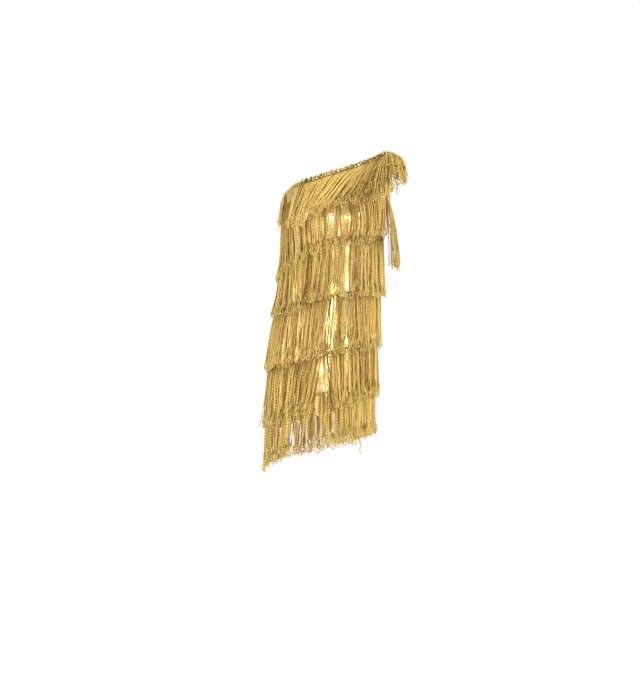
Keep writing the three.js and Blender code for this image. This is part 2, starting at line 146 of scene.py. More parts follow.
def clothPoint(side, turn, rise):
    side, turn, rise = np.broadcast_arrays(side, np.asarray(turn, float), np.asarray(rise, float))
    height = heightOf(rise)
    halfWidth = figureCurve["halfWidth"](height)
    depth = depthOf(side, height, rise)
    angle = np.radians(turn)
    puff = 1 + 2 * fullnessRise(side, turn, height) / (halfWidth + np.abs(depth))
    x = figureCurve["midX"](height) + halfWidth * np.sin(angle) * puff
    y = figureCurve["midY"](height) + side * (figure["seamGap"] / 2 + depth * np.cos(angle) * puff)
    past = np.maximum(0, x - figure["fallFrom"])
    drop = figure["fall"] * past**2 * smoothStep(height, figure["fallFoot"], figure["fallTop"])
    return np.stack([x, y, height - drop], axis=-1)


def unit(vectors):
    return vectors / np.maximum(np.linalg.norm(vectors, axis=-1, keepdims=True), 1e-9)


def dot(a, b):
    return np.sum(a * b, axis=-1, keepdims=True)


def clothFrame(side, turn, rise):
    # how the cloth runs with turn and with rise, and which way it faces
    turnNudge, riseNudge = 0.25, 0.5
    alongTurn = clothPoint(side, turn + turnNudge, rise) - clothPoint(side, turn - turnNudge, rise)
    alongTurn = alongTurn / (2 * turnNudge)
    alongRise = clothPoint(side, turn, rise + riseNudge) - clothPoint(side, turn, rise - riseNudge)
    alongRise = alongRise / (2 * riseNudge)
    normal = unit(np.cross(alongTurn, alongRise)) * -np.asarray(side)[..., None]
    return alongTurn, alongRise, normal


def lifted(side, turn, rise, lift):
    normal = clothFrame(side, turn, rise)[2]
    return clothPoint(side, turn, rise) + normal * np.asarray(lift)[..., None]


def slide(side, turn, rise, vector):
    # turn and rise after a step along a vector that lies in the cloth
    alongTurn, alongRise, _ = clothFrame(side, turn, rise)
    tt, rr, tr = dot(alongTurn, alongTurn), dot(alongRise, alongRise), dot(alongTurn, alongRise)
    vt, vr = dot(vector, alongTurn), dot(vector, alongRise)
    spread = tt * rr - tr * tr
    turnStep = ((vt * rr - vr * tr) / spread)[..., 0]
    riseStep = ((vr * tt - vt * tr) / spread)[..., 0]
    return turn + turnStep, rise + riseStep


seat = clothPoint(front, (strapFrom + strapTo) / 2, riseTop)
shift = np.array([-seat[0], -figureCurve["midY"](0), figure["clothWall"] - seat[2]])
necklineRise = smoothCurve(edges["necklineTurn"], riseOf(np.array(edges["necklineHeight"], float)))
armholeRise = smoothCurve(edges["armholeTurn"], riseOf(np.array(edges["armholeHeight"], float)))


def toRow(points):
    return (points + shift) / 1000


def topRise(turn):
    overStrap = np.where(turn < strapTo, riseTop, armholeRise(turn))
    return np.where(turn <= strapFrom, necklineRise(turn), overStrap)


def levelRise(side, turn, level, rounds=8):
    # a level climbs with X, and X changes with the level, so it settles in a few rounds
    rise = np.full(np.shape(turn), float(level["height"]))
    for _ in range(rounds):
        x = clothPoint(side, turn, rise)[..., 0]
        bend = np.where(x < 0, level["bend"], level["strapBend"])
        rise = level["height"] + level["climb"] * x - bend * x**2
    return rise


def runAlong(points):
    steps = np.linalg.norm(np.diff(points, axis=0), axis=-1)
    return np.concatenate([[0], np.cumsum(steps)])


def meshFromArrays(name, points, faces, uv=None, tone=None, caps=None):
    # points in row metres, faces all with the same number of corners, caps with three
    count, corners = faces.shape
    starts = np.arange(count) * corners
    loops = faces.ravel()
    if caps is not None:
        starts = np.concatenate([starts, count * corners + np.arange(len(caps)) * 3])
        loops = np.concatenate([loops, caps.ravel()])
        uv = np.concatenate([uv, np.zeros((caps.size, 2))])
    mesh = bpy.data.meshes.new(name)
    mesh.vertices.add(len(points))
    mesh.vertices.foreach_set("co", np.ascontiguousarray(points, np.float32).ravel())
    mesh.loops.add(len(loops))
    mesh.loops.foreach_set("vertex_index", np.ascontiguousarray(loops, np.int32))
    mesh.polygons.add(len(starts))
    mesh.polygons.foreach_set("loop_start", np.ascontiguousarray(starts, np.int32))
    if uv is not None:
        layer = mesh.uv_layers.new(name="cloth")
        layer.data.foreach_set("uv", np.ascontiguousarray(uv, np.float32).ravel())
    if tone is not None:
        attribute = mesh.attributes.new("tone", "FLOAT", "POINT")
        attribute.data.foreach_set("value", np.ascontiguousarray(tone, np.float32).ravel())
    mesh.update()
    mesh.validate()
    mesh.polygons.foreach_set("use_smooth", np.ones(len(mesh.polygons), bool))
    piece = bpy.data.objects.new(name, mesh)
    bpy.context.scene.collection.objects.link(piece)
    return piece


def addWall(piece, thickness):
    wall = piece.modifiers.new("wall", "SOLIDIFY")
    wall.thickness = thickness
    wall.offset = -1


def dressPiece(piece, material, nodes=()):
    piece.data.materials.append(material)
    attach(piece, "root")
    if nodes:
        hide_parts(*nodes)
    return piece


# materials
def newMaterial(name):
    material = bpy.data.materials.new(name)
    material.use_nodes = True
    nodes = material.node_tree.nodes
    return material, nodes, nodes["Principled BSDF"]


def setValues(node, values):
    for key, value in values.items():
        if key in node.inputs:
            node.inputs[key].default_value = value
        else:
            setattr(node, key, value)
    return node


def addNode(nodes, kind, **values):
    return setValues(nodes.new(kind), values)


def join(source, output, target, entry):
    source.id_data.links.new(source.outputs[output], target.inputs[entry])


def mathNode(nodes, operation, *terms):
    # each term is a number, or a node and the name of its output
    node = addNode(nodes, "ShaderNodeMath", operation=operation)
    for place, term in enumerate(terms):
        if isinstance(term, tuple):
            join(*term, node, place)
        else:
            node.inputs[place].default_value = term
    return node


def newGroup(name, values, output):
    # a group that takes a vector and some values and puts out one value
    group = bpy.data.node_groups.new(name, "ShaderNodeTree")
    group.interface.new_socket("Vector", in_out="INPUT", socket_type="NodeSocketVector")
    for label in values:
        group.interface.new_socket(label, in_out="INPUT", socket_type="NodeSocketFloat")
    group.interface.new_socket(output, in_out="OUTPUT", socket_type="NodeSocketFloat")
    nodes = group.nodes
    return group, nodes, nodes.new("NodeGroupInput"), nodes.new("NodeGroupOutput")


def spanToResult(source, output, low, high, given, result):
    # spreads a node's output between the group's own Low and High
    span = addNode(source.id_data.nodes, "ShaderNodeMapRange", **{"From Min": low, "From Max": high})
    join(source, output, span, "Value")
    join(given, "Low", span, "To Min")
    join(given, "High", span, "To Max")
    join(span, "Result", result, 0)


def makeGrainGroup():
    # soft uneven grain between a low and a high value
    group, nodes, given, result = newGroup("unevenGrain", ("Scale", "Low", "High"), "Grain")
    noise = addNode(nodes, "ShaderNodeTexNoise", Detail=3.0, Roughness=0.55)
    join(given, "Vector", noise, "Vector")
    join(given, "Scale", noise, "Scale")
    spanToResult(noise, "Fac", 0.3, 0.7, given, result)
    return group


def makeTwistGroup():
    # slanting turns of yarn, so many to a metre of the cloth map's length, as bands of painted light and
    # shade
    group, nodes, given, result = newGroup("yarnTwist", ("Turns", "Low", "High"), "Twist")
    parts = addNode(nodes, "ShaderNodeSeparateXYZ")
    join(given, "Vector", parts, "Vector")
    turns = mathNode(nodes, "MULTIPLY_ADD", (parts, "Y"), (given, "Turns"), (parts, "X"))
    phase = mathNode(nodes, "MULTIPLY", (turns, "Value"), 2 * math.pi)
    wave = mathNode(nodes, "SINE", (phase, "Value"))
    spanToResult(wave, "Value", -1.0, 1.0, given, result)
    return group


grainGroup = makeGrainGroup()
twistGroup = makeTwistGroup()


def useGroup(group, source, output, **values):
    node = addNode(source.id_data.nodes, "ShaderNodeGroup", node_tree=group)
    join(source, output, node, "Vector")
    return setValues(node, values)


def addGrain(source, output, scale, span):
    return useGroup(grainGroup, source, output, Scale=scale, Low=span[0], High=span[1])


def addTwist(source, output, turns, span):
    return useGroup(twistGroup, source, output, Turns=turns, Low=span[0], High=span[1])


def colourBy(source, output, stops, shader):
    ramp = source.id_data.nodes.new("ShaderNodeValToRGB")
    elements = ramp.color_ramp.elements
    while len(elements) < len(stops):
        elements.new(0.5)
    for element, (at, colour) in zip(elements, stops):
        element.position = at
        element.color = (*colour, 1)
    join(source, output, ramp, "Fac")
    join(ramp, "Color", shader, "Base Color")


def bumpBy(source, output, look, shader):
    strength, distance = look["bump"]
    bump = addNode(source.id_data.nodes, "ShaderNodeBump", Strength=strength, Distance=distance)
    join(source, output, bump, "Height")
    join(bump, "Normal", shader, "Normal")


lame = {
    "colours": [(0.0, (0.40, 0.24, 0.085)), (0.5, (0.66, 0.435, 0.155)), (1.0, (0.8, 0.575, 0.25))],
    "patch": 26.0,
    "patchSpan": (0.2, 1.1),
    "rough": 78.0,
    "roughSpan": (0.2, 0.3),
    "knit": 900.0,
    "bump": (0.18, 0.0004),
    "shader": {"Metallic": 0.75, "Coat Weight": 0.3, "Coat Roughness": 0.16},
}


def makeLame(name, look):
    material, nodes, shader = newMaterial(name)
    uv = addNode(nodes, "ShaderNodeUVMap", uv_map="cloth")
    patch = addGrain(uv, "UV", look["patch"], look["patchSpan"])
    colourBy(patch, "Grain", look["colours"], shader)
    rough = addGrain(uv, "UV", look["rough"], look["roughSpan"])
    join(rough, "Grain", shader, "Roughness")
    knit = addNode(nodes, "ShaderNodeTexVoronoi", Scale=look["knit"])
    join(uv, "UV", knit, "Vector")
    bumpBy(knit, "Distance", look, shader)
    setValues(shader, look["shader"])
    return material


chainette = {
    "colours": [(0.0, (0.175, 0.088, 0.014)), (0.48, (0.535, 0.346, 0.073)), (1.0, (0.865, 0.655, 0.212))],
    "turns": 120.0,
    # twist: painted light and shade along the turns of the yarn
    "twist": (0.5, 1.42),
    "grain": 210.0,
    "grainSpan": (0.75, 1.2),
    "bump": (0.7, 0.0006),
    "shader": {"Metallic": 0.4, "Roughness": 0.42},
}
thread = {
    **chainette,
    "colours": [(0.0, (0.14, 0.08, 0.02)), (0.48, (0.42, 0.27, 0.08)), (1.0, (0.74, 0.56, 0.24))],
    "turns": 900.0,
    # twist: painted light and shade along the turns of the thread
    "twist": (0.8, 1.15),
    "grain": 400.0,
    "shader": {"Metallic": 0.2, "Roughness": 0.42},
}


def makeYarn(name, look):
    # twisted gold yarn: its tone attribute (random tone with painted light and shade), its turns (painted
    # shade between them) and its grain together choose the colour
    material, nodes, shader = newMaterial(name)
    tone = addNode(nodes, "ShaderNodeAttribute", attribute_name="tone")
    uv = addNode(nodes, "ShaderNodeUVMap", uv_map="cloth")
    twist = addTwist(uv, "UV", look["turns"], look["twist"])
    place = addNode(nodes, "ShaderNodeTexCoord")
    grain = addGrain(place, "Object", look["grain"], look["grainSpan"])
    twisted = mathNode(nodes, "MULTIPLY", (tone, "Fac"), (twist, "Twist"))
    worn = mathNode(nodes, "MULTIPLY", (twisted, "Value"), (grain, "Grain"))
    colourBy(worn, "Value", look["colours"], shader)
    bumpBy(twist, "Twist", look, shader)
    setValues(shader, look["shader"])
    return material


shadedHeaderTape = {
    # colours darkened: painted shade where the tape shows under the tips of the tier above, and the weave's
    # stripes are painted shade between its threads
    "colours": [(0.1, (0.15, 0.085, 0.022)), (0.8, (0.44, 0.29, 0.09))],
    "slant": 60,
    "turns": 520.0,
    "weave": (0.0, 1.0),
    "grain": 160.0,
    "grainSpan": (0.7, 1.1),
    "bump": (0.6, 0.0005),
    "shader": {"Metallic": 0.4, "Roughness": 0.5},
}


def makeTape(name, look):
    material, nodes, shader = newMaterial(name)
    uv = addNode(nodes, "ShaderNodeUVMap", uv_map="cloth")
    along = addNode(nodes, "ShaderNodeMapping", Rotation=(0, 0, math.radians(look["slant"])))
    join(uv, "UV", along, "Vector")
    weave = addTwist(along, "Vector", look["turns"], look["weave"])
    grain = addGrain(uv, "UV", look["grain"], look["grainSpan"])
    worn = mathNode(nodes, "MULTIPLY", (weave, "Twist"), (grain, "Grain"))
    colourBy(worn, "Value", look["colours"], shader)
    bumpBy(weave, "Twist", look, shader)
    setValues(shader, look["shader"])
    return material


sequin = {
    # colours run from dark to a near-white painted highlight
    "colours": [(0.0, (0.26, 0.21, 0.06)), (0.5, (0.72, 0.60, 0.28)), (1.0, (1.0, 0.95, 0.78))],
    "rough": 420.0,
    "roughSpan": (0.14, 0.3),
    "shader": {"Metallic": 1},
}


def makeSequin(name, look):
    material, nodes, shader = newMaterial(name)
    tone = addNode(nodes, "ShaderNodeAttribute", attribute_name="tone")
    colourBy(tone, "Fac", look["colours"], shader)
    place = addNode(nodes, "ShaderNodeTexCoord")
    rough = addGrain(place, "Object", look["rough"], look["roughSpan"])
    join(rough, "Grain", shader, "Roughness")
    setValues(shader, look["shader"])
    return material


lameMaterial = makeLame("goldLame", lame)
chainetteMaterial = makeYarn("goldChainette", chainette)
tapeMaterial = makeTape("goldHeaderTape", shadedHeaderTape)
sequinMaterial = makeSequin("goldSequin", sequin)
threadMaterial = makeYarn("goldThread", thread)
print("materials made")

# lame panels: creases as turn, height, tilt in degrees, length, width and depth in millimetres
panels = {
    "columns": ((-90, strapFrom, 78), (strapFrom, strapTo, 12), (strapTo, 90, 26)),
    "yokeLevel": -165,
    "skirtRows": 88,
    "yokeRows": 40,
    "wall": 0.0012,
    "flatSide": (0, 8),
    "flatHem": (0, 25),
    "flatTop": (0, 30),
    "wander": 2.5,
    "bends": 3,
    "fade": 40,
    "reach": 0.55,
    front: [
        (-72, -176, 62, 60, 9, -3.5), (-60, -205, 55, 70, 10, -3.0), (-48, -236, 40, 60, 9, -2.2),
        (70, -182, -60, 64, 9, -3.2), (58, -215, -50, 72, 10, -2.6), (0, -215, 4, 120, 13, -3.0),
        (-16, -330, 3, 150, 11, -2.8), (14, -345, -4, 170, 12, -3.0), (-40, -350, 8, 140, 12, -2.4),
        (44, -365, -7, 150, 12, -2.6), (-72, -420, 10, 120, 11, -2.4), (72, -430, -8, 120, 11, -2.4),
        (-7, -628, 2, 60, 13, 2.6), (22, -560, -3, 210, 13, -3.2), (-41, -580, 4, 220, 13, -3.4),
        (54, -610, -3, 190, 12, -2.8), (-74, -640, 5, 170, 12, -2.8), (-9, -728, 1, 70, 12, 1.6),
        (20, -715, -2, 140, 12, -2.8), (-40, -720, 2, 150, 12, -3.0), (7, -500, 8, 66, 13, -2.2),
    ],
    back: [
        (-70, -178, 60, 62, 9, -3.2), (66, -186, -58, 66, 9, -3.2), (0, -260, 2, 200, 14, -4.0),
        (-30, -330, 5, 160, 12, -2.8), (32, -340, -5, 170, 12, -2.8), (-62, -400, 9, 130, 11, -2.4),
        (64, -410, -8, 130, 11, -2.4), (-14, -385, 78, 60, 9, -2.4), (16, -398, -76, 64, 9, -2.4),
        (6, -560, 1, 220, 13, -3.4), (-32, -580, 3, 220, 13, -3.2), (44, -600, -3, 210, 13, -3.2),
        (-70, -640, 4, 170, 12, -2.8), (-30, -700, 1, 150, 12, -3.0), (10, -710, -1, 150, 12, -3.0),
    ],
}


def creaseDepth(side, points):
    # each crease is a soft trough or ridge along a slanted line on the cloth
    total = np.zeros(points.shape[:-1])
    for at, level, tilt, length, width, depth in panels[side]:
        middle = clothPoint(side, at, riseOf(np.array(float(level))))
        reach = points - middle
        facing = np.radians(at)
        across = reach[..., 0] * np.cos(facing) - side * reach[..., 1] * np.sin(facing)
        up = reach[..., 2]
        lean = np.radians(tilt)
        along = up * np.cos(lean) + across * np.sin(lean)
        off = across * np.cos(lean) - up * np.sin(lean)
        wander = panels["wander"] * np.sin(along / length * panels["bends"] + at)
        past = np.maximum(0, np.linalg.norm(reach, axis=-1) - length)
        near = np.exp(-(past / panels["fade"]) ** 2)
        profile = np.exp(-((off + wander) / width) ** 2 - (along / (panels["reach"] * length)) ** 2)
        total += depth * near * profile
    return total


def makePanel(side):
    turns = [-90.0]
    for low, high, count in panels["columns"]:
        turns += list(np.linspace(low, high, count + 1)[1:])
    turns = np.array(turns)
    hem = levelRise(side, turns, edges["hem"])
    top = topRise(turns)
    skirt = np.linspace(0, 1, panels["skirtRows"], endpoint=False)[:, None]
    yoke = np.linspace(0, 1, panels["yokeRows"] + 1)[:, None]
    rise = np.vstack([
        hem + (panels["yokeLevel"] - hem) * skirt,
        panels["yokeLevel"] + (top - panels["yokeLevel"]) * yoke,
    ])
    turn = np.broadcast_to(turns, rise.shape)
    points = clothPoint(side, turn, rise)
    normal = clothFrame(side, turn, rise)[2]
    hush = smoothStep(90 - np.abs(turn), *panels["flatSide"]) * smoothStep(rise - hem, *panels["flatHem"])
    hush = hush * smoothStep(top - rise, *panels["flatTop"])
    points = points + normal * (creaseDepth(side, points) * hush)[..., None]
    rows, columns = rise.shape
    index = np.arange(rows * columns).reshape(rows, columns)
    faces = np.stack([index[:-1, :-1], index[:-1, 1:], index[1:, 1:], index[1:, :-1]], axis=-1).reshape(-1, 4)
    if side == back:
        faces = faces[:, ::-1]
    stepX = np.linalg.norm(np.diff(points, axis=1), axis=-1)
    arc = np.hstack([np.zeros((rows, 1)), np.cumsum(stepX, axis=1)]) / 1000
    uv = np.stack([arc, (rise - hem) / 1000], axis=-1).reshape(-1, 2)[faces.ravel()]
    piece = meshFromArrays(f"{sideNames[side]}LamePanel", toRow(points.reshape(-1, 3)), faces, uv)
    addWall(piece, panels["wall"])
    dressPiece(piece, lameMaterial, [f"{sideNames[side]}_panel"])
    upward = points[1:, :-1] - points[:-1, :-1]
    sideways = points[:-1, 1:] - points[:-1, :-1]
    area = float(np.sum(np.linalg.norm(np.cross(upward, sideways), axis=-1)) / 1e6)
    print(piece.name, "cloth area", round(area, 4))
    return piece, area


lamePanels = {side: makePanel(side) for side in (front, back)}

# fringe: what a header tape and its looped strands are made of, in millimetres,
# and the stretch of a strand, as shares of its length, over which each thing comes in
fringe = {
    "tapeHeight": 7,
    "tapeThickness": 1.6,
    "tapeStep": 4,
    "sewnAt": 0.6,
    "pitch": 5.8,
    "legRadius": 1.24,
    "legRadiusSpread": 0.16,
    "legGap": 1.95,
    "rootGap": 1.1,
    "legTwist": 1.2,
    "legDepth": 0.7,
    "turnOver": 0.3,
    "twistStart": 20.0,
    "loopGap": (6.0, 12.0),
    "shares": [0, 0.07, 0.22, 0.4, 0.58, 0.72, 0.81, 0.87, 0.92, 0.96, 0.985, 1.0],
    "loopOpen": [0, 0, 0, 0, 0, 0, 0.1, 0.2, 0.6, 1.0, 0.75, 0],
    "restGap": 0.7,
    "restEase": 0.7,
    "restSoft": (0.6, 2),
    "leanSpread": 0.007,
    "clumps": 400,
    "clumpWidth": (9, 24),
    "clumpPull": (0.0, 0.17),
    "clumpSway": 0.8,
    "clumpLength": 2.5,
    "clumpFrom": (0.02, 0.4),
    "clumpEase": 0.45,
    "clumpEaseFrom": (0.8, 1.0),
    "lengthSpread": (-6.0, 2.0, 14.0),
    "swingStep": 12,
    "jitter": 0.16,
    "wave": 0.9,
    "waves": (1.0, 3.0),
    "waveFrom": (0, 0.2),
    "curl": 2.2,
    "curlFrom": (0.6, 0.85),
    "curlOut": 0.7,
    "layer": 2.6,
    "layerFrom": (0.03, 0.35),
    "layerParts": (0.6, 0.4),
    "tipSway": 2.6,
    "tipSwayFrom": (0.7, 1.0),
    "tipOut": (0.0, 5.0),
    "tipOutFrom": (0.75, 1.0),
    "strayShare": 0.04,
    "straySway": 6.0,
    "partPush": 0.55,
    "partReach": 1.1,
    "partOpen": (-0.12, 0.06),
    "partShut": (-0.06, 0.1),
    # painted light and shade on each cord: lighter where it faces out from the cloth, darker on its sides
    "ridgeLightAndShade": (0.6, 1.42),
    "ridgeFacing": (-0.6, 0.85),
    "tone": (0.52, 0.2),
    # painted shade: clumps that lie deeper towards the cloth are darker
    "clumpDepthShade": 0.06,
    # painted shade: strands are darker from the root down to this share
    "rootShadeFrom": (0.0, 0.3),
    "mottle": (0.07, 0.15),
    "mottleFrom": (0.6, 0.85),
    # painted light: the loops at the tips are lighter
    "tipLight": 0.7,
    "tipLightFrom": (0.8, 0.95),
}
# root: share of tone kept at the strand roots, a painted shade under the tips of the tier above; shade:
# painted shade over a whole tier
tierColumns = ("name", "height", "climb", "bend", "strapBend", "length", "tip", "root", "shade")
tierRows = [
    ("bust", -105, 0.24, 0.0011, 0, 161, 6.3, 0.42, 1.0),
    ("waist", -253, 0.21, 0.0006, 0.0012, 157, 5.8, 0.32, 1.0),
    ("hip", -413, 0.21, 0.0004, 0.0004, 159, 5.8, 0.32, 1.0),
    ("thigh", -576, 0.23, 0.0003, -0.0004, 159, 8, 0.42, 1.0),
    ("hem", -690, 0.2, 0.0004, -0.0007, 160, 6.5, 0.75, 0.92),
]
tiers = [dict(zip(tierColumns, row)) for row in tierRows]
# where the strands part, or close up if the width is negative: X, sideways run, width, from share, to share
partings = {
    "bust": [
        (-119, -2, 7, 0.2, 0.9), (-103, 1, 5, 0.4, 0.9), (-84, 0, 8, 0.25, 0.9), (-54, 1, 5, 0.3, 0.85),
        (-20, 0, 5, 0.3, 0.8), (58, 0, 4, 0.42, 0.62), (73, 0, 4, 0.42, 0.62), (87, 0, 5, 0.42, 0.85),
        (101, 0, 4, 0.42, 0.62), (125, 0, 5, 0.3, 0.85), (147, 2, 5, 0.3, 0.8),
    ],
    "waist": [
        (52, -5, 9, 0.06, 0.86), (43, -1, 4, 0.05, 0.35), (-10, -3, 4, 0.45, 0.86), (-29, -9, 4, 0.1, 0.45),
        (22, -6, 3, 0.3, 0.7), (-70, 2, 5, 0.4, 0.85), (104, 0, 4, 0.25, 0.8), (138, 2, 6, 0.3, 0.85),
    ],
    "hip": [
        (-3, -8, 4, 0.5, 0.8), (30, -6, 4.5, 0.3, 0.74), (-86, -3, 4.5, 0.5, 0.84), (-52, 0, 4, 0.3, 0.7),
        (64, 0, 4, 0.2, 0.7), (-120, -4, 4, 0.4, 0.8), (12, -21, -4, 0.05, 0.45),
    ],
    "thigh": [
        (52, -2, 4, 0.3, 0.84), (-84, -3, 5, 0.3, 0.84), (86, 0, 5, 0.3, 0.84), (-128, -5, 5, 0.3, 0.84),
        (-4, 2, -4, 0.08, 0.85),
    ],
    "hem": [
        (-36, -3, 9, 0.03, 0.5), (-100, -3, 6, 0.2, 0.85), (24, 0, 4, 0.2, 0.85), (-66, 0, 4, 0.3, 0.85),
    ],
}
# the plainer partings of the back, strewn about these X
backPartings = {
    "at": (-120, -78, -36, 4, 46, 88, 128),
    "stray": 14,
    "run": 5,
    "width": (4, 10),
    "low": (0.05, 0.4),
    "high": (0.7, 0.98),
}
# where the strands of a tier are longer, by turn
longer = {
    "bust": ([-74, -60, -45, -20, 19, 36, 60], [46, 24, 15, 6, 13, 0, 24]),
    "waist": ([-90, -60, -36, -22, 50, 80], [16, 24, 20, 9, 7, 0]),
    "hip": ([-80, -40, 40, 80], [5, 12, 10, -3]),
    "thigh": ([0, 60, 90], [0, -4, -10]),
    "hem": ([-80, -60, 0, 60, 90], [9, -4, -7, -11, -15]),
}
# how densely the strands are set along a tape, by share of its length
crowded = {
    "bust": ([0], [1]),
    "waist": ([0.35, 0.45, 0.65, 0.75], [1, 1.06, 1.06, 1]),
    "hip": ([0.35, 0.45, 0.65, 0.75], [1, 1.2, 1.2, 1]),
    "thigh": ([0.3, 0.4, 0.7, 0.8], [1, 1.22, 1.22, 1]),
    "hem": ([0, 0.5, 0.7, 1], [1.25, 1.25, 1.6, 1.6]),
}
# sideways run of the front strands for each millimetre of fall, by X
swept = {
    "bust": ([0], [0]),
    "waist": ([-160, -90, -40, 0, 50, 80, 120, 150], [0, -0.03, -0.09, -0.1, -0.05, 0, 0, 0.03]),
    "hip": ([-160, -90, -40, 0, 40, 80], [-0.02, -0.05, -0.1, -0.1, -0.06, 0]),
    "thigh": ([-170, -120, -80, -50, -24, -20, 0, 30], [-0.02, -0.06, -0.12, -0.17, -0.17, 0.06, 0.05, 0]),
    "hem": ([-180, -130, -100, -70, -30, 0], [0, -0.05, -0.14, -0.06, -0.02, 0]),
}
# single front strands that have come loose: turn, sideways run, extra length
loose = {
    "bust": [],
    "waist": [],
    "hip": [(-80, -0.12, 8)],
    "thigh": [(-85, -0.12, 4), (84, 0.03, 0)],
    "hem": [(44, -0.01, 50), (-60, -0.12, 12)],
}
# the neckline fringe, brushed aside, by share of the neckline from the bare side to the strap
necklineFall = {
    "at": [0, 0.2, 0.4, 0.65, 0.82, 0.92, 1],
    "leanRoot": [-0.12, -0.38, -0.75, -0.85, -0.6, -0.25, 0.15],
    "leanTip": [-0.08, -0.26, -0.5, -0.6, -0.4, -0.15, 0.05],
    "tip": [15, 15, 15, 15, 15, 14, 12],
    "plumb": [0, 0, 0, 0.2, 0.8, 1, 1],
    "crowd": [1.3, 1.25, 1.15, 1.1, 1.5, 1.6, 1.4],
    # shade: painted light on the bare side and painted shade towards the strap
    "shade": [2.0, 2.05, 1.95, 1.25, 0.76, 0.74, 1.1],
    "length": [114, 130, 155, 172, 160, 138, 104],
    "forward": 0.7,
    "fromTurn": -53,
    "shorter": 8,
    "sway": 0.028,
    "belowTrim": 9.4,
    # painted shade at the strand roots
    "root": 0.9,
    "steps": 24,
}
# strands sewn into the top edge on the bare side, and into the shoulder seam
flank = {"turns": (-87, -72), "below": 5, "count": 7, "length": 82, "lean": (-0.06, -0.03), "tip": 8}
shoulder = {"turns": (32.5, 49.5), "below": 4, "count": 18, "length": 84, "lean": (0.0, 0.14), "tip": 7}
edgeStrands = {"stagger": (0.2, 0.8), "lengthSpread": 8, "clumpGap": 30, "clumpSpan": 40}
underarm = {
    "fromTurn": 64,
    "drop": 20,
    "length": 171,
    "tip": 15,
    "lean": 0.125,
    "leanSpread": 0.035,
    "leanEase": 0.4,
    "crowd": 2.6,
    # painted shade at the strand roots
    "root": 0.7,
}
armholeMargin = 4
shares = np.array(fringe["shares"])


def grow(key):
    return smoothStep(shares, *fringe[key])


def edgePath(side, turns, rises):
    return {"side": side, "turn": turns, "rise": rises, "length": runAlong(clothPoint(side, turns, rises))}


def necklinePath(side, fromTurn, samples=400):
    turns = np.linspace(fromTurn, strapFrom, samples)
    return edgePath(side, turns, necklineRise(turns))


def onPath(path, share):
    wanted = np.asarray(share) * path["length"][-1]
    return np.interp(wanted, path["length"], path["turn"]), np.interp(wanted, path["length"], path["rise"])


def inwardPlace(path, share, distance, nudge=0.005):
    # a place this far from the edge into the cloth, reached in two steps
    side = path["side"]
    turn, rise = onPath(path, share)
    ahead = clothPoint(side, *onPath(path, np.minimum(1, share + nudge)))
    behind = clothPoint(side, *onPath(path, np.maximum(0, share - nudge)))
    normal = clothFrame(side, turn, rise)[2]
    inward = np.cross(unit(ahead - behind), normal) * -side
    half = inward * (np.asarray(distance)[..., None] / 2)
    turn, rise = slide(side, turn, rise, half)
    return slide(side, turn, rise, half)


def hangPaths(side, turn, rise, length, tip, drift):
    # strands that hang plumb and rest on the cloth where it comes out to meet them
    root = clothPoint(side, turn, rise)
    fall = length[:, None] * shares[None, :]
    point = np.repeat(root[:, None, :], len(shares), axis=1)
    point[..., 2] -= fall
    point[..., 0] += drift
    height = point[..., 2]
    midY = figureCurve["midY"](height)
    facing = np.where(point[..., 1] < midY, front, back)
    faceRise = riseOf(height)
    across = (point[..., 0] - figureCurve["midX"](height)) / figureCurve["halfWidth"](height)
    out = np.abs(point[..., 1] - midY) / depthOf(facing, height, faceRise)
    faceTurn = np.degrees(np.arctan2(across, out))
    onCloth = clothPoint(facing, faceTurn, faceRise)
    alongTurn, _, normal = clothFrame(facing, faceTurn, faceRise)
    rest = (tip - figure["seatGap"]) * shares ** fringe["restEase"]
    clearance = figure["seatGap"] + fringe["restGap"] + rest
    away = dot(point - onCloth, normal)[..., 0]
    softRise, softReach = fringe["restSoft"]
    lift = np.maximum(0, clearance - away) + softRise * np.exp(-np.abs(clearance - away) / softReach)
    across = unit(alongTurn) * np.where(facing == side, 1, -1)[..., None]
    return point + normal * lift[..., None], normal, across


def layPaths(side, turn, rise, length, fall):
    # strands that lie on the cloth, run sideways as they fall and hang plumb off the strap
    steps = necklineFall["steps"]
    reach = side * clothPoint(side, turn, rise)[:, 1]
    outmost = clothPoint(side, turn, rise)[:, 0]
    centre, normals, across = [], [], []
    for i in range(steps + 1):
        normal = clothFrame(side, turn, rise)[2]
        lean = fall["leanRoot"] + (fall["leanTip"] - fall["leanRoot"]) * i / steps
        forward = side * necklineFall["forward"] * np.maximum(0, normal[:, 2])
        direction = np.stack([lean, forward, -np.ones_like(lean)], axis=-1)
        direction = unit(direction - normal * dot(direction, normal))
        rest = (fall["tip"] - figure["seatGap"]) * math.sqrt(i / steps)
        clearance = figure["seatGap"] + fringe["restGap"] + rest
        onCloth = clothPoint(side, turn, rise)
        reach = np.maximum(reach, side * onCloth[:, 1])
        point = onCloth + normal * clearance[:, None]
        behind = np.maximum(0, reach + clearance - side * point[:, 1])
        point[:, 1] += side * behind * fall["plumb"] * i / steps
        outmost = np.maximum(outmost, point[:, 0])
        point[:, 0] += (outmost - point[:, 0]) * (lean > 0)
        centre.append(point)
        normals.append(normal)
        across.append(np.cross(normal, direction) * -side)
        turn, rise = slide(side, turn, rise, direction * (length / steps)[:, None])
    stops = shares * steps
    low = np.minimum(stops.astype(int), steps - 1)
    part = (stops - low)[None, :, None]

    def sampled(rows):
        rows = np.stack(rows, axis=1)
        return rows[:, low] * (1 - part) + rows[:, low + 1] * part

    return sampled(centre), unit(sampled(normals)), unit(sampled(across))


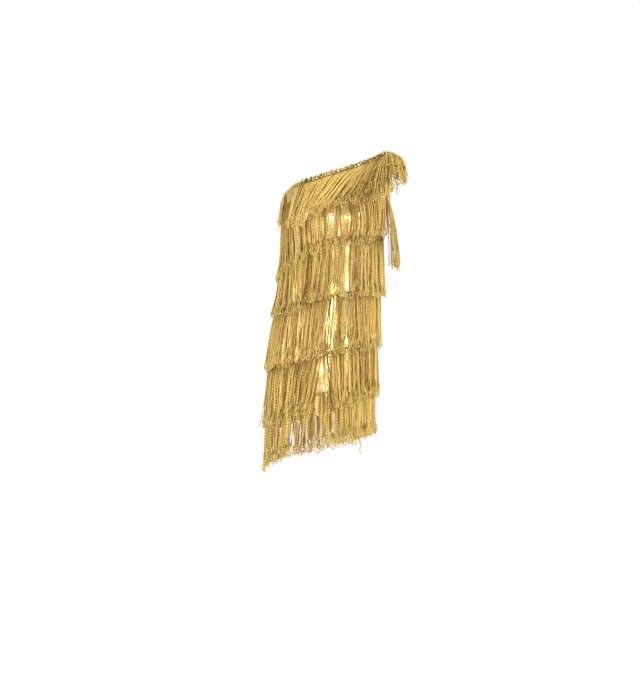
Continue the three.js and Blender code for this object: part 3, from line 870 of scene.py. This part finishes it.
def partStrands(centre, streaks):
    # sideways push that opens the streaks where the cloth shows
    push = np.zeros(centre.shape[:2])
    openFrom, openTo = fringe["partOpen"]
    shutFrom, shutTo = fringe["partShut"]
    for x, run, width, low, high in streaks:
        off = centre[..., 0] - x - run * shares
        window = smoothStep(shares, low + openFrom, low + openTo)
        window = window * (1 - smoothStep(shares, high + shutFrom, high + shutTo))
        middleStop = np.argmin(np.abs(shares - 0.5 * (low + high)))
        way = np.where(off[:, middleStop] < 0, -1, 1)[:, None]
        hump = np.exp(-((off / (fringe["partReach"] * width)) ** 2))
        push += way * window * fringe["partPush"] * width * hump
    return push


def swayStrands(centre, normal, across, arc, streaks, rng):
    # strands gather in clumps, wave a little and spread at their tips
    count = len(centre)
    clumps = fringe["clumps"]
    clumpEnds = np.cumsum(rng.uniform(*fringe["clumpWidth"], clumps))
    clumpMiddle = clumpEnds - 0.5 * np.diff(np.concatenate([[0], clumpEnds]))
    clump = np.searchsorted(clumpEnds, arc)
    pull = rng.uniform(*fringe["clumpPull"], clumps)[clump][:, None]
    clumpSway = rng.normal(0, fringe["clumpSway"], clumps)[clump][:, None]
    clumpOut = rng.uniform(0, 1, clumps)[clump][:, None]
    gather = grow("clumpFrom") * (1 - fringe["clumpEase"] * grow("clumpEaseFrom"))
    sideways = (clumpMiddle[clump] - arc)[:, None] * pull * gather + clumpSway * shares**1.5
    phase = rng.uniform(0, 2 * np.pi, count)[:, None]
    waves = rng.uniform(*fringe["waves"], count)[:, None]
    sideways += fringe["wave"] * np.sin(phase + waves * 2 * np.pi * shares) * grow("waveFrom")
    sideways += fringe["tipSway"] * rng.normal(0, 1, count)[:, None] * grow("tipSwayFrom")
    curl = fringe["curl"] * grow("curlFrom")
    sideways += curl * rng.normal(0, 1, (count, len(shares)))
    stray = (rng.random(count) < fringe["strayShare"])[:, None]
    sideways += np.where(stray, rng.normal(0, fringe["straySway"], count)[:, None] * shares**1.6, 0)
    sideways += partStrands(centre + across * sideways[..., None], streaks)
    ownPart, clumpPart = fringe["layerParts"]
    outward = ownPart * rng.random(count)[:, None] + clumpPart * clumpOut
    outward = outward * fringe["layer"] * grow("layerFrom")
    outward += rng.uniform(*fringe["tipOut"], count)[:, None] * grow("tipOutFrom")
    outward += fringe["curlOut"] * curl * rng.random((count, len(shares)))
    return centre + across * sideways[..., None] + normal * outward[..., None], clumpOut


def tubeArrays(path, plane, radius, run):
    # three-sided cords along many paths at once, an edge towards the plane, closed at both ends
    count, stops = path.shape[:2]
    along = unit(np.gradient(path, axis=1))
    aside = unit(np.cross(along, plane))
    plane = np.cross(aside, along)
    sides = 3
    angles = np.arange(sides) * 2 * np.pi / sides
    ring = plane[:, :, None] * np.cos(angles)[:, None] + aside[:, :, None] * np.sin(angles)[:, None]
    points = path[:, :, None] + ring * radius[:, None, None, None]
    index = np.arange(count * stops * sides).reshape(count, stops, sides)
    after = np.roll(index, -1, axis=2)
    faces = np.stack([index[:, :-1], after[:, :-1], after[:, 1:], index[:, 1:]], axis=-1).reshape(-1, 4)
    caps = np.concatenate([index[:, 0, ::-1], index[:, -1]])
    u = np.arange(sides + 1) / sides
    v = run / 1000
    uv = np.empty((count, stops - 1, sides, 4, 2))
    uv[..., 0, 0] = uv[..., 3, 0] = u[:-1]
    uv[..., 1, 0] = uv[..., 2, 0] = u[1:]
    uv[..., 0, 1] = uv[..., 1, 1] = v[:, :-1, None]
    uv[..., 2, 1] = uv[..., 3, 1] = v[:, 1:, None]
    return toRow(points.reshape(-1, 3)), ring, faces, caps, uv.reshape(-1, 2)


def thereAndBack(rows):
    return np.concatenate([rows, rows[:, -2::-1]], axis=1)


def strandMesh(name, centre, normal, across, length, tone, rng):
    # every strand is a cord that goes down, turns in a loop and comes back up beside itself
    count = len(centre)
    openness = rng.uniform(*fringe["loopGap"], count)[:, None]
    gap = fringe["legGap"] + (openness - fringe["legGap"]) * np.array(fringe["loopOpen"])
    gap[:, 0] = fringe["rootGap"]
    gap[:, -1] = 0
    turnOver = rng.normal(0, fringe["turnOver"], count)[:, None]
    twist = turnOver + fringe["legTwist"] * rng.uniform(-1, 1, count)[:, None] * (1 - shares)
    split = across * np.cos(twist)[..., None] + normal * (fringe["legDepth"] * np.sin(twist))[..., None]
    plane = unit(np.cross(split, np.gradient(centre, axis=1)))
    plane = plane * np.sign(np.sum(dot(plane, normal), axis=1, keepdims=True))
    legs = split * (gap / 2)[..., None]
    path = np.concatenate([centre + legs, (centre - legs)[:, -2::-1]], axis=1)
    radius = fringe["legRadius"] + rng.uniform(-1, 1, count) * fringe["legRadiusSpread"]
    fall = thereAndBack(shares[None, :])[0]
    run = length[:, None] * np.concatenate([[0], np.cumsum(np.abs(np.diff(fall)))])
    run = run + rng.uniform(0, fringe["twistStart"], count)[:, None]
    points, ring, faces, caps, uv = tubeArrays(path, thereAndBack(plane), radius, run)
    # painted light and shade: each cord is lighter on the side facing out from the cloth and darker on its
    # sides
    facing = dot(ring, thereAndBack(normal)[:, :, None])[..., 0]
    low, high = fringe["ridgeLightAndShade"]
    ridge = low + (high - low) * smoothStep(facing, *fringe["ridgeFacing"])
    tone = np.clip(thereAndBack(tone)[:, :, None] * ridge, 0, 1)
    return meshFromArrays(name, points, faces, uv, tone, caps)


def tapeMesh(name, side, place, height, thickness, samples, base=figure["seatGap"]):
    # a flat tape, swept along its path with rounded edges
    share = np.linspace(0, 1, samples)
    section = [(0, 0), (0.02, 0.7), (0.14, 1), (0.86, 1), (0.98, 0.7), (1, 0)]
    ring = []
    for below, lift in section:
        turn, rise = place(share, below * height)
        ring.append(lifted(side, turn, rise, base + lift * thickness))
    points = np.stack(ring, axis=1)
    sides = len(section)
    index = np.arange(samples * sides).reshape(samples, sides)
    after = np.roll(index, -1, axis=1)
    faces = np.stack([index[:-1], index[1:], after[1:], after[:-1]], axis=-1).reshape(-1, 4)
    caps = np.array([[0, 1, 4, 5], [1, 2, 3, 4]])
    faces = np.vstack([faces, index[0][caps], index[-1][caps][:, ::-1]])
    if side == front:
        faces = faces[:, ::-1]
    run = runAlong(points[:, 0]) / 1000
    rim = np.array([below * height + lift * thickness for below, lift in section]) / 1000
    uv = np.stack(np.broadcast_arrays(run[:, None], rim[None, :]), axis=-1).reshape(-1, 2)
    return meshFromArrays(name, toRow(points.reshape(-1, 3)), faces, uv[faces.ravel()])


def spreadShares(total, crowd, rng, steps=200):
    # places of the strands along a tape, crowd times as dense as the pitch
    tally = np.concatenate([[0], np.cumsum(crowd(np.linspace(0, 1, steps)))])
    count = int(total / fringe["pitch"] * tally[-1] / steps)
    jitter = rng.uniform(-1, 1, count) * fringe["jitter"]
    even = np.clip((np.arange(count) + 0.5 + jitter) / count, 0, 1)
    return np.interp(even * tally[-1], tally, np.linspace(0, 1, steps + 1))


def strandTone(count, clumpOut, rootShade, rng):
    # painted shade: clumps lying deeper towards the cloth are a little darker
    tone = rng.normal(*fringe["tone"], count)[:, None] + fringe["clumpDepthShade"] * (clumpOut - 0.5)
    # painted shade: darker at the roots, where the tips of the tier above cover them
    tone = tone * (rootShade + (1 - rootShade) * grow("rootShadeFrom"))
    plain, more = fringe["mottle"]
    mottle = rng.normal(0, 1, (count, len(shares))) * (plain + more * grow("mottleFrom"))
    # painted light: lighter towards the tips
    return tone * (1 + fringe["tipLight"] * grow("tipLightFrom")) + mottle


def makeFringe(word, side, place, total, pathsOf, length, crowd, streaks, rootShade, seed):
    rng = np.random.default_rng(seed)
    share = spreadShares(total, crowd, rng)
    turn, rise = place(share, fringe["tapeHeight"] * fringe["sewnAt"])
    knots = np.arange(0, total + fringe["swingStep"], fringe["swingStep"])
    swing = np.interp(share * total, knots, rng.normal(0, 1, len(knots)))
    spread = rng.triangular(*fringe["lengthSpread"], len(share)) + fringe["clumpLength"] * swing
    lengths = length(share, turn) + spread + fringe["tapeHeight"] * (1 - fringe["sewnAt"])
    centre, normal, across, lengths, arc, shade = pathsOf(share, turn, rise, lengths, share * total, rng)
    centre, clumpOut = swayStrands(centre, normal, across, arc, streaks, rng)
    tone = strandTone(len(centre), clumpOut, rootShade, rng) * shade[:, None]
    sideName = sideNames[side]
    title = f"{word}{sideName.capitalize()}"
    strands = strandMesh(f"{title}Strands", centre, normal, across, lengths, tone, rng)
    dressPiece(strands, chainetteMaterial, [f"fringe_{word}_{sideName}"])
    samples = max(12, int(total / fringe["tapeStep"]))
    tape = tapeMesh(f"{title}Tape", side, place, fringe["tapeHeight"], fringe["tapeThickness"], samples)
    dressPiece(tape, tapeMaterial)
    return [strands, tape]


def belowPath(path):
    # places straight below a path on the cloth
    def place(share, drop):
        turn, rise = onPath(path, share)
        return turn, rise - drop

    return place


def strewnPartings(seed):
    rng = np.random.default_rng(seed)
    stray, run = backPartings["stray"], backPartings["run"]
    spans = [(-stray, stray), (-run, run)] + [backPartings[key] for key in ("width", "low", "high")]
    streaks = []
    for x in backPartings["at"]:
        off, *others = [rng.uniform(*span) for span in spans]
        streaks.append((x + off, *others))
    return streaks


def makeTier(side, tier, seed, samples=721):
    name = tier["name"]
    turns = np.linspace(-90, 90, samples)
    rises = levelRise(side, turns, tier)
    free = rises <= topRise(np.minimum(90, turns + armholeMargin)) - fringe["tapeHeight"]
    end = len(turns) if free[-1] else np.nonzero(~free & (turns > 0))[0][0]
    path = edgePath(side, turns[:end], rises[:end])

    def length(share, turn):
        return tier["length"] + np.interp(turn, *longer[name])

    def crowd(share):
        return np.interp(share, *crowded[name])

    def pathsOf(share, turn, rise, lengths, arc, rng):
        lean = rng.normal(0, fringe["leanSpread"], len(share))
        if side == front:
            lean += np.interp(clothPoint(side, turn, rise)[:, 0], *swept[name])
            for at, run, extra in loose[name]:
                one = np.argmin(np.abs(turn - at))
                lean[one] += run
                lengths[one] += extra
        drift = (lean * lengths)[:, None] * shares
        shade = np.full(len(share), tier["shade"])
        return *hangPaths(side, turn, rise, lengths, tier["tip"], drift), lengths, arc, shade

    streaks = partings[name] if side == front else strewnPartings(seed)
    total = path["length"][-1]
    place = belowPath(path)
    return makeFringe(name, side, place, total, pathsOf, length, crowd, streaks, tier["root"], seed)


def makeNecklineFringe(side, seed):
    path = necklinePath(side, necklineFall["fromTurn"])
    keys = ("leanRoot", "leanTip", "tip", "plumb", "crowd", "shade")
    fallAt = {key: smoothCurve(necklineFall["at"], necklineFall[key]) for key in keys}
    fallLength = smoothCurve(necklineFall["at"], necklineFall["length"])

    def length(share, turn):
        return fallLength(share)

    def place(share, drop):
        return inwardPlace(path, share, necklineFall["belowTrim"] + drop)

    def pathsOf(share, turn, rise, lengths, arc, rng):
        fall = {key: fallAt[key](share) for key in keys}
        lengths = lengths - np.abs(rng.normal(0, necklineFall["shorter"], len(share)))
        for end, group in ((0, flank), (1, shoulder)):
            count = group["count"]
            step = (np.arange(count) + rng.uniform(*edgeStrands["stagger"], count)) / count
            low, high = group["turns"]
            turns = low + (high - low) * step
            turn = np.concatenate([turn, turns])
            rise = np.concatenate([rise, topRise(turns) - group["below"]])
            spread = rng.normal(0, edgeStrands["lengthSpread"], count)
            lengths = np.concatenate([lengths, group["length"] + spread])
            ownArc = edgeStrands["clumpGap"] + edgeStrands["clumpSpan"] * step
            arc = np.concatenate([arc, arc[-1] + ownArc])
            low, high = group["lean"]
            lean = low + (high - low) * step
            own = {key: fallAt[key](np.full(count, float(end))) for key in keys}
            own.update(leanRoot=lean, leanTip=lean, tip=np.full(count, float(group["tip"])))
            fall = {key: np.concatenate([fall[key], own[key]]) for key in keys}
        sway = rng.normal(0, necklineFall["sway"], len(turn))
        fall["leanRoot"] += sway
        fall["leanTip"] += sway
        return *layPaths(side, turn, rise, lengths, fall), lengths, arc, fall["shade"]

    total = path["length"][-1]
    crowd = fallAt["crowd"]
    return makeFringe("neckline", side, place, total, pathsOf, length, crowd, [], necklineFall["root"], seed)


def makeUnderarmFringe(side, seed, samples=200):
    turns = np.linspace(underarm["fromTurn"], 90, samples)
    path = edgePath(side, turns, armholeRise(turns) - underarm["drop"])

    def length(share, turn):
        return underarm["length"]

    def crowd(share):
        return np.full(np.shape(share), underarm["crowd"])

    def pathsOf(share, turn, rise, lengths, arc, rng):
        lean = rng.normal(underarm["lean"], underarm["leanSpread"], len(share))
        drift = (lean * lengths)[:, None] * shares ** underarm["leanEase"]
        shade = np.ones(len(share))
        return *hangPaths(side, turn, rise, lengths, underarm["tip"], drift), lengths, arc, shade

    total = path["length"][-1]
    place = belowPath(path)
    return makeFringe("underarm", side, place, total, pathsOf, length, crowd, [], underarm["root"], seed)


fringeSeeds = {front: 100, back: 200}
sewnOn = {front: [], back: []}
for side in (front, back):
    seed = fringeSeeds[side]
    sewnOn[side] += makeNecklineFringe(side, seed)
    sewnOn[side] += makeUnderarmFringe(side, seed + 1)
    for step, tier in enumerate(tiers):
        sewnOn[side] += makeTier(side, tier, seed + 2 + step)
    print(sideNames[side], "fringe made")

# sequin braid along the neckline, in millimetres, its wall in metres
braid = {
    "fromTurn": -48,
    "width": 9,
    "thickness": 1.0,
    "samples": 110,
    "rows": (0.2, 4.4, 8.6),
    "pitch": 4.6,
    "jitter": 0.1,
    "stray": 0.25,
    "lift": 0.45,
    "liftSpread": 0.35,
    "radius": 3.1,
    "cup": 0.6,
    "tilt": 0.16,
    "droop": 0.22,
    "repeat": 15.0,
    "rowShift": 2.5,
    "rock": 0.5,
    "rockWays": (1.0, -0.6),
    # tone: plain tone, painted light that follows each sequin's rock, random spread
    "tone": (0.5, 0.4, 0.15),
    # shine: painted highlights along the neckline, by share
    "shine": ([0, 0.25, 0.4, 0.55, 0.75, 1], [-0.2, -0.12, 0.28, 0.1, -0.08, 0.08]),
    "sides": 8,
    "sequinWall": 0.0003,
}


def makeBraid(side, seed):
    rng = np.random.default_rng(seed)
    path = necklinePath(side, braid["fromTurn"])
    word = f"neckline{sideNames[side].capitalize()}"

    def place(share, drop):
        return inwardPlace(path, share, drop)

    base = tapeMesh(f"{word}Braid", side, place, braid["width"], braid["thickness"], braid["samples"])
    dressPiece(base, tapeMaterial)
    total = path["length"][-1]
    centres, normals, alongs, rocks, shines = [], [], [], [], []
    for step, drop in enumerate(braid["rows"]):
        count = int(total / braid["pitch"])
        jitter = rng.uniform(-braid["jitter"], braid["jitter"], count)
        share = np.clip((np.arange(count) + 0.5 * (step % 2) + 0.25 + jitter) / count, 0, 1)
        turn, rise = inwardPlace(path, share, drop + rng.normal(0, braid["stray"], count))
        lift = figure["seatGap"] + braid["thickness"] + braid["lift"]
        centres.append(lifted(side, turn, rise, lift + rng.uniform(0, braid["liftSpread"], count)))
        alongTurn, _, normal = clothFrame(side, turn, rise)
        normals.append(normal)
        alongs.append(unit(alongTurn))
        shines.append(np.interp(share, *braid["shine"]))
        rocks.append(np.sin((share * total + braid["rowShift"] * step) * 2 * np.pi / braid["repeat"]))
    centre = np.concatenate(centres)
    rock = np.concatenate(rocks)
    along = np.concatenate(alongs)
    normal = np.concatenate(normals)
    count = len(centre)
    down = np.cross(along, normal) * -side
    lean = rng.normal(0, braid["tilt"], (count, 2))
    lean = lean + (braid["rock"] * rock)[:, None] * np.array(braid["rockWays"])
    normal = unit(normal + along * lean[:, :1] + down * (lean[:, 1:] - braid["droop"]))
    along = unit(along - normal * dot(along, normal))
    down = np.cross(normal, along)
    sides = braid["sides"]
    angles = np.arange(sides) * 2 * np.pi / sides
    spoke = along[:, None] * np.cos(angles)[:, None] + down[:, None] * np.sin(angles)[:, None]
    rim = centre[:, None] + spoke * braid["radius"] + normal[:, None] * braid["cup"]
    middle = centre[:, None] + spoke * (0.5 * braid["radius"])
    points = np.concatenate([rim, middle], axis=1)
    index = np.arange(count * 2 * sides).reshape(count, 2, sides)
    after = np.roll(index, -1, axis=2)
    cups = np.stack([index[:, 0], after[:, 0], after[:, 1], index[:, 1]], axis=-1).reshape(-1, 4)
    inner = index[:, 1]
    floors = np.concatenate([inner[:, [0, 1, 2, 3]], inner[:, [0, 3, 4, 7]], inner[:, [4, 5, 6, 7]]])
    plain, tiltLight, spread = braid["tone"]
    # painted light: sequins tilted one way, and those where the shine peaks, are lighter, on top of random
    # tone
    tone = plain + tiltLight * rock + np.concatenate(shines) + rng.normal(0, spread, count)
    tone = np.repeat(np.clip(tone, 0, 1), 2 * sides)
    faces = np.vstack([cups, floors])
    piece = meshFromArrays(f"{word}Sequins", toRow(points.reshape(-1, 3)), faces, None, tone)
    piece.data.polygons.foreach_set("use_smooth", np.zeros(len(piece.data.polygons), bool))
    addWall(piece, braid["sequinWall"])
    dressPiece(piece, sequinMaterial, [f"neckline_trim_{sideNames[side]}"])
    return [base, piece]


braidSeed = 300
for side in (front, back):
    sewnOn[side] += makeBraid(side, braidSeed + side)
print("braid made")

# turned edges and the stitches that hold them, in millimetres
sewing = {
    "roll": 3.0,
    "rollThickness": 1.2,
    "rollBase": 0.05,
    "rollStep": 4,
    "inset": 6.0,
    "pitch": 5.2,
    "jitter": 0.08,
    "length": 3.6,
    "radius": 0.4,
    "lifts": [0.0, 0.5, 0.5, 0.0],
    "stops": [-0.5, -0.3, 0.3, 0.5],
    "tone": (0.6, 0.12),
    "sideTurns": (-90, -46),
    "edgeSamples": 160,
    "hemSamples": 361,
}


def sewnEdges(side):
    # each open edge as a path and the way from it into the cloth
    turns = np.linspace(strapTo, 90, sewing["edgeSamples"])
    armhole = edgePath(side, turns, armholeRise(turns))
    turns = np.linspace(*sewing["sideTurns"], sewing["edgeSamples"])
    neckline = edgePath(side, turns, necklineRise(turns))
    turns = np.linspace(-90, 90, sewing["hemSamples"])
    hem = edgePath(side, turns, levelRise(side, turns, edges["hem"]))

    def inside(path):
        return lambda share, inset: inwardPlace(path, share, inset)

    def upwards(share, inset):
        turn, rise = onPath(hem, share)
        return turn, rise + inset

    yield "Armhole", armhole, inside(armhole)
    yield "Side", neckline, inside(neckline)
    yield "Hem", hem, upwards


def makeSewing(side, seed):
    rng = np.random.default_rng(seed)
    pieces, paths, planes = [], [], []
    for word, path, place in sewnEdges(side):
        total = path["length"][-1]

        def rolled(share, inset):
            return place(share, inset if word != "Hem" else sewing["roll"] - inset)

        roll = tapeMesh(
            f"{sideNames[side]}{word}Roll", side, rolled, sewing["roll"], sewing["rollThickness"],
            int(total / sewing["rollStep"]), sewing["rollBase"],
        )
        pieces.append(dressPiece(roll, lameMaterial))
        count = int(total / sewing["pitch"])
        jitter = rng.uniform(-sewing["jitter"], sewing["jitter"], count)
        middle = (np.arange(count) + 0.5 + jitter) / count
        share = middle[:, None] + np.array(sewing["stops"]) * sewing["length"] / total
        turn, rise = place(share, sewing["inset"])
        paths.append(lifted(side, turn, rise, np.broadcast_to(sewing["lifts"], share.shape)))
        planes.append(clothFrame(side, turn, rise)[2])
    path = np.concatenate(paths)
    count, stops = path.shape[:2]
    run = np.broadcast_to(np.linspace(0, sewing["length"], stops), (count, stops))
    radius = np.full(count, sewing["radius"])
    points, ring, faces, caps, uv = tubeArrays(path, np.concatenate(planes), radius, run)
    tone = np.repeat(np.clip(rng.normal(*sewing["tone"], count), 0, 1), stops * ring.shape[2])
    stitches = meshFromArrays(f"{sideNames[side]}Stitches", points, faces, uv, tone, caps)
    pieces.append(dressPiece(stitches, threadMaterial))
    return pieces


sewingSeed = 400
for side in (front, back):
    sewnOn[side] += makeSewing(side, sewingSeed + side)
print("sewing made")

for side in (front, back):
    piece, area = lamePanels[side]
    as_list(sewnOn[side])

# studio: pale floor, soft lights, camera at the photograph's angle
# a light's place and its width and height in metres, its power in watts, its colour
studio = {
    "floorZ": -1.56,
    "floorSize": 14,
    "floorGlow": 0.8,
    "cameraDistance": 12.0,
    "aimX": -0.2122,
    "aimZ": -0.5655,
    "lens": 212.8,
    "skySpan": (-0.2, 0.6),
    "sky": (0.22, 0.9),
    "lights": {
        "frontBox": ((0.6, -4.7, 0.0), (0.5, 1.3), 100, (1, 0.98, 0.95)),
        "keyBox": ((2.4, -3.0, 1.0), (0.6, 0.5), 55, (1, 0.97, 0.93)),
        "fillBox": ((-3.2, -2.2, 0.6), (1.2, 1.8), 45, (1, 0.98, 0.96)),
        "topBox": ((-0.2, -0.8, 2.2), (1.6, 1.2), 30, (1, 1, 1)),
        "rimBox": ((1.8, 2.4, 0.8), (1.0, 1.6), 30, (1, 1, 1)),
    },
}


def makeFloor():
    shape = bmesh.new()
    bmesh.ops.create_circle(shape, cap_ends=True, segments=64, radius=studio["floorSize"])
    bmesh.ops.translate(shape, verts=shape.verts, vec=(studio["aimX"], 0, studio["floorZ"]))
    mesh = bpy.data.meshes.new("studioFloor")
    shape.to_mesh(mesh)
    shape.free()
    floor = bpy.data.objects.new("studioFloor", mesh)
    bpy.context.scene.collection.objects.link(floor)
    material, _, shader = newMaterial("paleFloor")
    setValues(shader, {
        "Base Color": (0.93, 0.93, 0.93, 1),
        "Roughness": 0.9,
        "Emission Color": (1, 1, 1, 1),
        "Emission Strength": studio["floorGlow"],
    })
    mesh.materials.append(material)


def addLight(name, place, size, power, colour):
    light = bpy.data.lights.new(name, "AREA")
    light.shape = "RECTANGLE"
    light.size, light.size_y = size
    light.energy = power
    light.color = colour
    lamp = bpy.data.objects.new(name, light)
    bpy.context.scene.collection.objects.link(lamp)
    lamp.location = place
    lamp.visible_camera = False
    reach = np.array([studio["aimX"], 0, studio["aimZ"]]) - np.array(place)
    flat = math.hypot(reach[0], reach[1])
    lamp.rotation_euler = (math.atan2(flat, -reach[2]), 0, math.atan2(-reach[0], reach[1]))


def makeSky(scene):
    # dim towards the camera, bright like the white backdrop behind the dress
    world = bpy.data.worlds.new("studioWorld")
    scene.world = world
    world.use_nodes = True
    nodes = world.node_tree.nodes
    sky = setValues(nodes["Background"], {"Color": (1, 1, 1, 1)})
    direction = addNode(nodes, "ShaderNodeTexCoord")
    parts = addNode(nodes, "ShaderNodeSeparateXYZ")
    join(direction, "Generated", parts, "Vector")
    near, far = studio["skySpan"]
    dim, bright = studio["sky"]
    spans = {"From Min": near, "From Max": far, "To Min": dim, "To Max": bright}
    backdrop = addNode(nodes, "ShaderNodeMapRange", **spans)
    join(parts, "Y", backdrop, "Value")
    rays = addNode(nodes, "ShaderNodeLightPath")
    strength = addNode(nodes, "ShaderNodeMapRange", **{"To Max": 1.0})
    join(backdrop, "Result", strength, "To Min")
    join(rays, "Is Camera Ray", strength, "Value")
    join(strength, "Result", sky, "Strength")


def makeCamera(scene):
    view = bpy.data.cameras.new("photoCamera")
    view.sensor_width = 36
    view.lens = studio["lens"]
    view.clip_end = 60
    camera = bpy.data.objects.new("photoCamera", view)
    scene.collection.objects.link(camera)
    camera.location = (studio["aimX"], -studio["cameraDistance"], studio["aimZ"])
    camera.rotation_euler = (math.pi / 2, 0, 0)
    scene.camera = camera
    scene.view_settings.view_transform = "Standard"


makeFloor()
for name, setting in studio["lights"].items():
    addLight(name, *setting)
makeSky(bpy.context.scene)
makeCamera(bpy.context.scene)
print("studio made")
